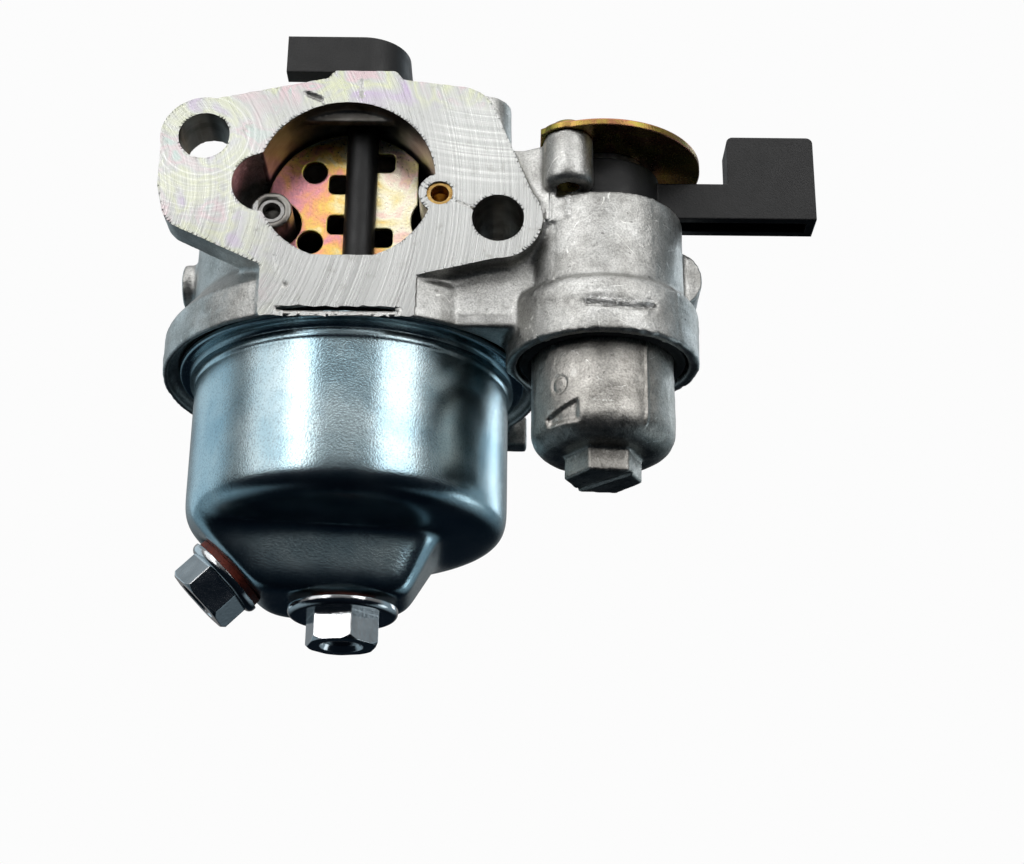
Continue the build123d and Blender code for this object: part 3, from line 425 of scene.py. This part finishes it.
# %% Blue-white zinc
blue_zinc, tree, shader, mm = start("blue_zinc_steel", Metallic=1.0)
peel = node(tree, "ShaderNodeTexNoise", {"Vector": mm, "Scale": 1 / 0.26, "Detail": 2.0, "Roughness": 0.6})
cloud = node(tree, "ShaderNodeTexNoise", {"Vector": mm, "Scale": 1 / 6.0, "Detail": 4.0})
zinc = node(tree, "ShaderNodeValToRGB", {0: cloud.outputs[0]}, stops=[(0.35, "#9DB8C3"), (0.65, "#BACDD3")])
dots = node(tree, "ShaderNodeMapRange", {0: peel.outputs[0], 1: 0.32, 2: 0.5, 3: 0.74, 4: 1.0})
tree.links.new(mixed(tree, 1.0, zinc.outputs[0], dots.outputs[0], "MULTIPLY"), shader.inputs["Base Color"])
gloss = node(tree, "ShaderNodeMapRange", {0: cloud.outputs[0], 1: 0.3, 2: 0.7, 3: 0.18, 4: 0.26})
tree.links.new(gloss.outputs[0], shader.inputs["Roughness"])
skin = node(tree, "ShaderNodeBump", {"Height": peel.outputs[0], "Strength": 0.7, "Distance": 0.035 * MM})
slow = node(tree, "ShaderNodeBump", {"Height": cloud.outputs[0], "Strength": 0.4, "Distance": 0.10 * MM,
                                     "Normal": skin.outputs[0]})
tree.links.new(slow.outputs[0], shader.inputs["Normal"])

# %% [markdown]
# ## Yellow chromate on zinc
# Stamped parts get zinc and a yellow chromate bath. The film's thickness changes its colour from
# cream through yellow and orange to pink and mauve, and sheared edges come out yellow-green or copper.
# The plate and the strip use one recipe with different edge colours.

# %% Yellow zinc
def chromate(name, stops, edge, patch_mm, rough, light_and_tint_lean=(0, 0, 0)):
    """A chromate film whose colour follows slow patches, with a steady drift along a direction, which can
    paint one side lighter as if lit.
    """
    made, tree, shader, mm = start(name, Metallic=1.0)
    slow = node(tree, "ShaderNodeTexNoise", {"Vector": mm, "Scale": 1 / patch_mm, "Detail": 4.0,
                                             "Distortion": 0.8})
    # The steady drift changes the film's hue and can also paint one side lighter, as painted light.
    drift = node(tree, "ShaderNodeVectorMath", {0: mm, 1: light_and_tint_lean}, operation="DOT_PRODUCT")
    film = node(tree, "ShaderNodeMath", {0: slow.outputs[0], 1: drift.outputs["Value"]}, operation="ADD")
    colour = node(tree, "ShaderNodeValToRGB", {0: film.outputs[0]}, stops=stops)
    normal, at_edge = rounded_edges(tree, 0.3)
    fine = node(tree, "ShaderNodeTexNoise", {"Vector": mm, "Scale": 1 / 0.35, "Detail": 4.0})
    speck = node(tree, "ShaderNodeMapRange", {0: fine.outputs[0], 1: 0.3, 2: 0.6, 3: 0.78, 4: 1.0})
    base = mixed(tree, 1.0, colour.outputs[0], speck.outputs[0], "MULTIPLY")
    tree.links.new(mixed(tree, at_edge, base, edge), shader.inputs["Base Color"])
    gloss = node(tree, "ShaderNodeMapRange", {0: fine.outputs[0], 1: 0.3, 2: 0.7, 3: rough[0], 4: rough[1]})
    tree.links.new(gloss.outputs[0], shader.inputs["Roughness"])
    relief = node(tree, "ShaderNodeBump", {"Height": fine.outputs[0], "Strength": 0.6,
                                           "Distance": 0.04 * MM, "Normal": normal})
    tree.links.new(relief.outputs[0], shader.inputs["Normal"])
    return made


# On the choke plate the drift runs from pink on the left to light cream on the right. The change of hue is
# the film's own colour, and the lighter right half is painted light, as if that half were lit.
plate_zinc = chromate("yellow_zinc_choke_plate", [
    (0.10, "#C58C9C"), (0.26, "#EBA0A4"), (0.38, "#F2AE80"), (0.48, "#F4CC70"), (0.58, "#F3E6B4"),
    (0.70, "#FAF3DC"), (0.80, "#F6D0C4"), (0.92, "#F6EB9E")],
    "#C4C84E", 4.0, (0.26, 0.40), (0.022, 0, 0.008))
# The strip's dark copper and olive colours are partly its own chromate film and partly painted shade. They
# are darker because the housing shades its underside.
strip_zinc_with_painted_shade = chromate("yellow_zinc_steel", [
    (0.25, "#7E4C46"), (0.42, "#96684A"), (0.55, "#9C8A42"), (0.70, "#77803A")],
    "#D08A78", 6.0, (0.24, 0.36))

# %% [markdown]
# ## Bright zinc, brass, steel and fibre
# The bolts are plated bright and clear, so they act almost as mirrors with a faint orange peel. Brass
# jets are turned and slightly browned. Springs and pins are bare steel. The washers are red
# vulcanised fibre, which is dull, with darker oil-soaked patches.

# %% Small hardware
bright_zinc = surfaced("bright_zinc_steel", "#D4D6D8", "#BDBFC1", "#F0F0F0", 3.0, (0.10, 0.18), 0.5, 0.02,
                       0.2, Metallic=1.0)
brass = surfaced("brass", "#C9A766", "#8E6B3C", "#E4CD98", 1.2, (0.24, 0.40), 0.25, 0.02,
                 0.12, Metallic=1.0)
steel = surfaced("bare_steel", "#A9A8A6", "#7E7C79", "#D2D1CE", 2.0, (0.26, 0.40), 0.2, 0.015,
                 Metallic=1.0)
fibre = surfaced("red_fibre", "#8E3A26", "#5E2218", "#A2523C", 1.5, (0.55, 0.75), 0.2, 0.04, IOR=1.5)

# %% [markdown]
# ## Plastics and rubber
# The choke shaft and fuel lever are moulded in black glass-filled nylon, satin with a faint fibre
# sparkle. The float and strainer are white acetal, and the seals are nitrile rubber, which is matt.

# %% Plastics and rubber
black_plastic = surfaced("black_plastic", "#0E0E0F", "#060607", "#1C1C1D", 2.5, (0.40, 0.56), 0.22, 0.03,
                         0.35, IOR=1.46)
white_plastic = surfaced("white_plastic", "#DDDCD3", "#CFCDC2", "#ECEBE4", 4.0, (0.42, 0.55), 0.4, 0.02,
                         0.2, IOR=1.48)
rubber = surfaced("black_rubber", "#151515", "#0B0B0B", "#202020", 2.0, (0.62, 0.8), 0.3, 0.03, IOR=1.52)

finishes = {
    "die_cast_aluminium": cast_skin, "blue_zinc_steel": blue_zinc, "bright_zinc_steel": bright_zinc,
    "yellow_zinc_steel": strip_zinc_with_painted_shade, "brass": brass, "black_plastic": black_plastic,
    "white_plastic": white_plastic, "black_rubber": rubber, "red_fibre": fibre, "bare_steel": steel,
}
slot_of = {s["node"]: s["material_slot"] for s in frame["record"]["subparts"]}
for name, piece in frame["nodes"].items():
    piece.data.materials.clear()
    piece.data.materials.append(plate_zinc if name == "choke_plate" else finishes[slot_of[name]])
print("materials", len(bpy.data.materials))

# %% [markdown]
# ## Mesh tools
# The casting's real character is in its shape: fillets in every inner corner, soft outer edges, ragged
# burrs and gouges. The CAD model has sharp corners, so the casting is rebuilt as a fine even mesh,
# smoothed most where it is hollow, and then marked. Everything random has a fixed seed.

# %% Mesh helpers
def rebuilt(name, voxel_mm):
    """A copy of a CAD node's shape as a fine even mesh, with its points in millimetres."""
    source = frame["nodes"][name]
    piece = bpy.data.objects.new("cast_" + name, source.data.copy())
    scene.collection.objects.link(piece)
    skin = piece.modifiers.new("skin", "REMESH")
    skin.mode, skin.voxel_size = "VOXEL", voxel_mm * MM
    evaluated = piece.evaluated_get(bpy.context.evaluated_depsgraph_get())
    piece.data = bpy.data.meshes.new_from_object(evaluated)
    piece.modifiers.clear()
    points = np.empty(len(piece.data.vertices) * 3, np.float32)
    piece.data.vertices.foreach_get("co", points)
    return piece, points.reshape(-1, 3).astype(float) / MM


def put(mesh, points):
    """Writes points in millimetres back to a mesh."""
    mesh.vertices.foreach_set("co", (points * MM).astype(np.float32).ravel())
    mesh.update()


def edge_pairs(mesh):
    pairs = np.empty(len(mesh.edges) * 2, np.int32)
    mesh.edges.foreach_get("vertices", pairs)
    return pairs.reshape(-1, 2)


def pull(points, pairs):
    """How far each point is from the middle of its neighbours."""
    count = np.bincount(pairs.ravel(), minlength=len(points))
    total = np.empty_like(points)
    for axis in range(3):
        total[:, axis] = (np.bincount(pairs[:, 0], points[pairs[:, 1], axis], len(points))
                          + np.bincount(pairs[:, 1], points[pairs[:, 0], axis], len(points)))
    return total / count[:, None] - points


def normals(mesh):
    values = np.empty(len(mesh.vertices) * 3, np.float32)
    mesh.vertex_normals.foreach_get("vector", values)
    return values.reshape(-1, 3)


def lumps(points, size_mm, seed):
    """Smooth random values from -1 to 1 that change over the given size."""
    lattice = np.random.default_rng(seed).uniform(-1, 1, (32, 32, 32))
    spot = points / size_mm + 7.3
    cell = np.floor(spot).astype(int)
    part = spot - cell
    part = part * part * (3 - 2 * part)
    total = np.zeros(len(points))
    for corner in np.ndindex(2, 2, 2):
        share = np.prod(np.where(corner, part, 1 - part), axis=1)
        total += share * lattice[tuple(((cell + corner) % 32).T)]
    return total


def fade(values, none, full):
    """0 where values are at none, 1 where they are at full, smooth between."""
    t = np.clip((values - none) / (full - none), 0, 1)
    return t * t * (3 - 2 * t)


def soften(piece, points, free, rounds, hollow_rounds):
    """Rounds all free edges a little and inner corners much more."""
    pairs = edge_pairs(piece.data)
    for _ in range(rounds):
        points = points + 0.5 * free[:, None] * pull(points, pairs)
    put(piece.data, points)
    facing = normals(piece.data)
    for _ in range(hollow_rounds):
        step = pull(points, pairs)
        hollow = fade((step * facing).sum(1), 0.0, 0.02)
        points = points + 0.6 * (free * hollow)[:, None] * step
    return points, pairs


def thin(piece, ratio):
    """Fewer triangles where the surface is plain."""
    cut = piece.modifiers.new("thin", "DECIMATE")
    cut.ratio = ratio
    evaluated = piece.evaluated_get(bpy.context.evaluated_depsgraph_get())
    piece.data = bpy.data.meshes.new_from_object(evaluated)
    piece.modifiers.clear()


def across_bore(points, centres):
    """The distance from each point to the nearest of some axes that run along the bore."""
    return np.min([np.hypot(points[:, 0] - cx, points[:, 2] - cz) for cx, cz in centres], axis=0)


def round_cock(points):
    """The distance from the fuel cock's axis, and the angle round it, 0 in front and 90 on the right."""
    to_right = points[:, 0] - cock_centre[0]
    to_back = points[:, 1] - cock_centre[1]
    return np.hypot(to_right, to_back), np.degrees(np.arctan2(to_right, -to_back))


def face_values(mesh, kind, size):
    values = np.empty(len(mesh.polygons) * size, np.float32)
    mesh.polygons.foreach_get(kind, values)
    return values.reshape(-1, size)


# %% [markdown]
# An even mesh cannot follow a sharp outline by itself: it leaves small steps. So the true outline of a
# machined face is read from the CAD triangles as a row of closely spaced points. Every mesh point at
# the edge of that face, and its neighbour just behind the face, is moved over the nearest of them.

# %% True outlines of machined faces
def face_outline(name, height):
    """Points every 0.1 mm along the edges of the CAD node's faces that lie at that Y."""
    mesh = frame["nodes"][name].data
    co = np.empty(len(mesh.vertices) * 3, np.float32)
    mesh.vertices.foreach_get("co", co)
    co = co.reshape(-1, 3).astype(float) / MM
    seen_once = {}
    for polygon in mesh.polygons:
        corners = co[list(polygon.vertices)]
        if np.abs(corners[:, 1] - height).max() > 0.01:
            continue
        for a, b in zip(corners, np.roll(corners, -1, 0)):
            ends = sorted((tuple(np.round(a, 3)), tuple(np.round(b, 3))))
            key = tuple(ends)
            seen_once[key] = seen_once.get(key, 0) + 1
    outline = []
    for (a, b), times in seen_once.items():
        if times == 1:
            a, b = np.array(a), np.array(b)
            steps = max(2, int(np.linalg.norm(b - a) / 0.1))
            outline.extend(a + (b - a) * share for share in np.linspace(0, 1, steps))
    tree = kdtree.KDTree(len(outline))
    for index, spot in enumerate(outline):
        tree.insert(spot, index)
    tree.balance()
    return tree


# %% [markdown]
# ## The cast body
# Machined places are left out of the smoothing: the two flange faces, the bores, the stud holes and
# the jet seats. The mould's parting leaves a faint line round the ring, the trimmed flange edges are ragged,
# and the ring has been hit, with a slit and a bright torn patch.

# %% The cast body
air_face = -53.0
engine_face = 0.0
bore_centres = np.array([[-0.5, -0.5]])
cock_centre = np.array([34.35, -44.0])
stud_centres = np.array([[-20.09, 6.1], [20.09, -6.1]])
jet_centres = np.array([[-10.9, -3.1], [12.2, -2.4]])
air_bore_r = 12.5
throttle_bore_r = 9.8
stud_hole_r = 3.9
jet_seat_r = 3.2

body, points = rebuilt("carburetor_body", 0.30)
start_points = points.copy()
x, y, z = points.T
on_face = (np.abs(y - air_face) < 0.2) | (np.abs(y - engine_face) < 0.2)
bore = across_bore(points, bore_centres)
machined = on_face | (across_bore(points, stud_centres) < stud_hole_r)
machined |= (bore < air_bore_r) & (y < -38.5)
machined |= (bore < throttle_bore_r) & (y > -20.5)
machined |= (across_bore(points, jet_centres) < jet_seat_r) & (y < -40)
free = np.where(machined, 0.0, 1.0)
points, pairs = soften(body, points, free, 3, 24)
print("machined points", int(machined.sum()), "of", len(points))

# %% [markdown]
# The marks are moves of mesh points. The ring under the fuel cock gets a slit, a torn patch above it
# and the parting line, and its lower edge is ragged. The front of the cock gets a short ridge of flash.
# The outline of each flange face is made slightly uneven, and the air-filter face gets a few nicks.

# %% Marks on the casting
def tear_height(angle):
    """The height of the slit in the ring, which wanders a little as it goes round."""
    return -20.45 - 0.4 * fade(angle, -13, 12) + 0.5 * fade(angle, 12, 29)


parting_height = -18.9
ring_foot = -24.2
flash_x = 29.4
out = normals(body.data)
x, y, z = start_points.T
skin_wave = 0.05 * lumps(start_points, 3.0, 11) + 0.03 * lumps(start_points, 1.1, 12)
points += out * (skin_wave * free)[:, None]

from_cock, angle = round_cock(start_points)
ring_side = fade(from_cock, 12.3, 12.8) * (z > -24.4) * (z < -16)
slit_height = tear_height(angle)
in_slit = fade(angle, -15, -12) * fade(angle, 31, 27) * ring_side
slit = in_slit * fade(np.abs(z - slit_height), 0.42, 0.12)
torn = in_slit * fade(z - slit_height, 1.5, 0.5) * (z > slit_height)
points -= out * (0.55 * slit + torn * (0.12 + 0.18 * lumps(start_points, 0.6, 13)))[:, None]
parting = ring_side * fade(np.abs(z - parting_height), 0.35, 0.05)
points += out * (0.10 * parting * (0.6 + 0.4 * lumps(start_points, 2.0, 14)))[:, None]
ragged_low = ring_side * fade(np.abs(z - ring_foot), 0.5, 0.0)
points[:, 2] += ragged_low * 0.22 * lumps(start_points, 0.9, 15)

flash = fade(np.abs(x - flash_x), 0.35, 0.08) * (y < -53.2) * (z > -6.5) * (z < -1.8)
points[:, 1] -= 0.25 * flash * (0.7 + 0.3 * lumps(start_points, 0.5, 18))

# Each nick is a line from x, z to x, z, with its half width and depth.
nicks = [(-6.4, 12.9, -4.4, 12.0, 0.28, 0.5), (1.1, 15.2, 1.2, 12.4, 0.14, 0.16),
         (14.3, -3.6, 17.4, -5.0, 0.10, 0.10), (-7.8, -16.4, -7.75, -16.45, 0.30, 0.3),
         (-9.5, -12.0, -8.9, -14.4, 0.10, 0.08)]
for height in (air_face, engine_face):
    flat = np.abs(start_points[:, 1] - height) < 0.06
    crossing = pairs[flat[pairs[:, 0]] != flat[pairs[:, 1]]].ravel()
    rim = np.unique(crossing[flat[crossing]])
    beside = np.unique(crossing[~flat[crossing]])
    beside = beside[np.abs(start_points[beside, 1] - height) < 0.35]
    outline = face_outline("carburetor_body", height)
    for index in (*rim, *beside):
        spot, _, distance = outline.find((points[index, 0], height, points[index, 2]))
        if distance < 0.6:
            points[index, 0], points[index, 2] = spot[0], spot[2]
    rough = np.where(start_points[rim, 2] < -17.0, 0.20, 0.05)
    points[rim, 0] += rough * lumps(start_points[rim], 0.7, 16)
    points[rim, 2] += rough * lumps(start_points[rim], 0.7, 17)
    points[flat, 1] = height
    if height == air_face:
        for x0, z0, x1, z1, half, depth in nicks:
            share = np.clip(((x - x0) * (x1 - x0) + (z - z0) * (z1 - z0))
                            / ((x1 - x0) ** 2 + (z1 - z0) ** 2), 0, 1)
            from_nick = np.hypot(x - x0 - share * (x1 - x0), z - z0 - share * (z1 - z0))
            points[:, 1] += depth * flat * fade(from_nick, half + 0.15, half - 0.1)
put(body.data, points)
thin(body, 0.36)
body.data.polygons.foreach_set("use_smooth", [True] * len(body.data.polygons))
print("body faces", len(body.data.polygons), "points before thinning", len(points))

# %% [markdown]
# Each face of the rebuilt casting takes the finish of how it was made, from where it lies: milled on
# the two flange planes, bored inside the air passage and the stud holes, and cast everywhere else.

# %% Finishes of the body
centre = face_values(body.data, "center", 3) / MM
facing = face_values(body.data, "normal", 3)
from_bore = across_bore(centre, bore_centres)
on_plane = (np.abs(centre[:, 1] - air_face) < 0.04) | (np.abs(centre[:, 1] - engine_face) < 0.04)
is_milled = on_plane & (np.abs(facing[:, 1]) > 0.9)
is_bored = (from_bore < 12.45) & (centre[:, 1] < -25)
is_bored |= (from_bore < 9.9) | (across_bore(centre, stud_centres) < 3.8)
is_bored &= ~is_milled
kind = np.where(is_milled, 1, np.where(is_bored, 2, 0))
off_cock, around = round_cock(centre)
line_height = tear_height(around)
is_torn = (off_cock > 12.2) & (around > -13) & (around < 28)
is_torn &= (centre[:, 2] > line_height + 0.15) & (centre[:, 2] < line_height + 1.0)
is_flash = (np.abs(centre[:, 0] - flash_x) < 0.3) & (centre[:, 1] < -53.1)
is_flash &= np.abs(centre[:, 2] + 4.2) < 2.0
kind = np.where((is_torn | is_flash) & (kind == 0), 3, kind).astype(np.int32)
body.data.materials.clear()
for finish in (cast_skin, milled, bored, torn_metal):
    body.data.materials.append(finish)
body.data.polygons.foreach_set("material_index", kind)
body.data.polygons.foreach_set("use_smooth", ~is_milled)
body.data.update()
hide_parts("carburetor_body")
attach(body, "carburetor")
print("cast, milled, bored and torn faces", np.bincount(kind).tolist())

# %% [markdown]
# ## The sediment cup
# The cup is cast in a two-part mould, so a flash line runs down its side. An ejector pin left a round
# mark low on the front, and below it a wedge-shaped recess was cast in.

# %% The sediment cup
cup, points = rebuilt("sediment_cup", 0.24)
free = np.where(points[:, 2] < -36.9, 0.45, 1.0)
points, pairs = soften(cup, points, free, 3, 12)
out = normals(cup.data)
x, y, z = points.T
side, angle = round_cock(points)
outside = fade(side, 8.9, 9.3)
around = np.radians(angle) * 9.6
print("cup heights", round(z.min(), 2), round(z.max(), 2), "points", len(points))
wave = 0.06 * lumps(points, 2.6, 21) + 0.03 * lumps(points, 0.9, 22)
flash = outside * fade(np.abs(around - 5.6), 0.35, 0.05) * (z > -36)
pin = np.hypot(around + 6.6, z + 29.6)
ring_mark = outside * (fade(np.abs(pin - 1.1), 0.35, 0.05) * 0.16)
wedge_height = -33.0 + 0.35 * (around + 6.2)
wedge = outside * fade(around, -9.2, -8.4) * fade(around, -3.4, -4.4)
wedge *= fade(z - wedge_height, 0.25, -0.1) * fade(z, -35.2, -34.4)
points += out * (wave + 0.13 * flash - ring_mark - 0.5 * wedge)[:, None]
from_slot = np.abs((x - cock_centre[0]) + (y - cock_centre[1])) / math.sqrt(2)
slot_depth = 1.2
points[:, 2] += slot_depth * fade(from_slot, 0.55, 0.30) * (z < -40.1)
put(cup.data, points)
thin(cup, 0.5)
cup.data.polygons.foreach_set("use_smooth", [True] * len(cup.data.polygons))
cup.data.materials.clear()
cup.data.materials.append(cup_skin)
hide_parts("sediment_cup")
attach(cup, "carburetor")
print("cup faces", len(cup.data.polygons))

# %% [markdown]
# ## The drawn bowl
# Sheet metal cannot turn a sharp corner, so the bowl's well has generous radii that the CAD model only
# hints at. A round grid of rays is shot at the CAD bowl from outside to find its surface, the grid is
# smoothed until the corners have the radii of drawn sheet, and the sheet's thickness is added inside.

# %% The drawn bowl
sheet_t = 0.9
axis = np.array([-0.7, -27.9])
wall_r = 22.4
flange_low = -20.4
heart_height = -34.5
heart = Vector((axis[0], axis[1], heart_height)) * MM
drain_point = np.array([-16.2, -28.5, -48.3])
drain_out = np.array([-1, 0, -1]) / math.sqrt(2)
source = frame["nodes"]["float_bowl"]
flange_r = max(source.dimensions[:2]) / MM / 2
columns = 320
rays = 110
low_start = -21.9
bolt_hole_r = 3.1
bottom_depth = 18.2
smoothing_rounds = 45
profile = [(flange_r - 0.35, flange_low + 0.9), (flange_r, flange_low + 0.65), (flange_r, flange_low + 0.3),
           (flange_r - 0.12, flange_low + 0.08), (flange_r - 0.35, flange_low), (flange_r - 0.9, flange_low),
           (wall_r + 1.0, flange_low)]
for step in range(1, 7):
    bend = math.pi / 2 * step / 6
    profile.append((wall_r + 1.0 - 1.0 * math.sin(bend), flange_low - 1.0 + 1.0 * math.cos(bend)))
turns = np.linspace(0, 2 * math.pi, columns, endpoint=False)
rows = [np.stack([axis[0] + r * np.cos(turns), axis[1] + r * np.sin(turns), np.full(columns, h)], 1)
        for r, h in profile]
first = math.atan2(low_start - heart_height, wall_r)
last = -math.pi / 2 + math.atan2(bolt_hole_r, bottom_depth)
for tilt in np.linspace(first, last, rays):
    row = []
    for turn_angle in turns:
        way = Vector((math.cos(turn_angle) * math.cos(tilt),
                      math.sin(turn_angle) * math.cos(tilt),
                      math.sin(tilt)))
        hit, place, _, _ = source.ray_cast(heart + way * 0.08, -way)
        row.append(tuple(place / MM) if hit else tuple((heart / MM) + way * bottom_depth))
    rows.append(np.array(row))
grid = np.array(rows)
off_drain = grid - drain_point
in_drain = np.linalg.norm(off_drain - (off_drain @ drain_out)[..., None] * drain_out, axis=-1) < 3.3
in_drain &= (off_drain @ drain_out < 1.0) & (off_drain @ drain_out > -6)
grid[in_drain] -= (off_drain[in_drain] @ drain_out)[:, None] * drain_out
fixed = len(profile) + 2
for _ in range(smoothing_rounds):
    sides = np.roll(grid, 1, 1) + np.roll(grid, -1, 1)
    middle = grid.copy()
    middle[1:-1] = (grid[:-2] + grid[2:] + sides[1:-1]) / 4
    grid[fixed:-1] += 0.5 * (middle[fixed:-1] - grid[fixed:-1])

count = len(grid)
corners = [(r * columns + c, (r + 1) * columns + c, (r + 1) * columns + (c + 1) % columns,
            r * columns + (c + 1) % columns) for r in range(count - 1) for c in range(columns)]
bowl_mesh = bpy.data.meshes.new("drawn_bowl")
bowl_mesh.from_pydata((grid.reshape(-1, 3) * MM).tolist(), [], corners)
bowl_mesh.polygons.foreach_set("use_smooth", [True] * len(corners))
bowl = bpy.data.objects.new("drawn_bowl", bowl_mesh)
scene.collection.objects.link(bowl)
thick = bowl.modifiers.new("sheet", "SOLIDIFY")
thick.thickness, thick.offset = sheet_t * MM, -1.0
bowl_mesh.materials.append(blue_zinc)
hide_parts("float_bowl")
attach(bowl, "carburetor")
print("bowl rows and columns", grid.shape[:2], "lowest point", round(grid[..., 2].min(), 2))
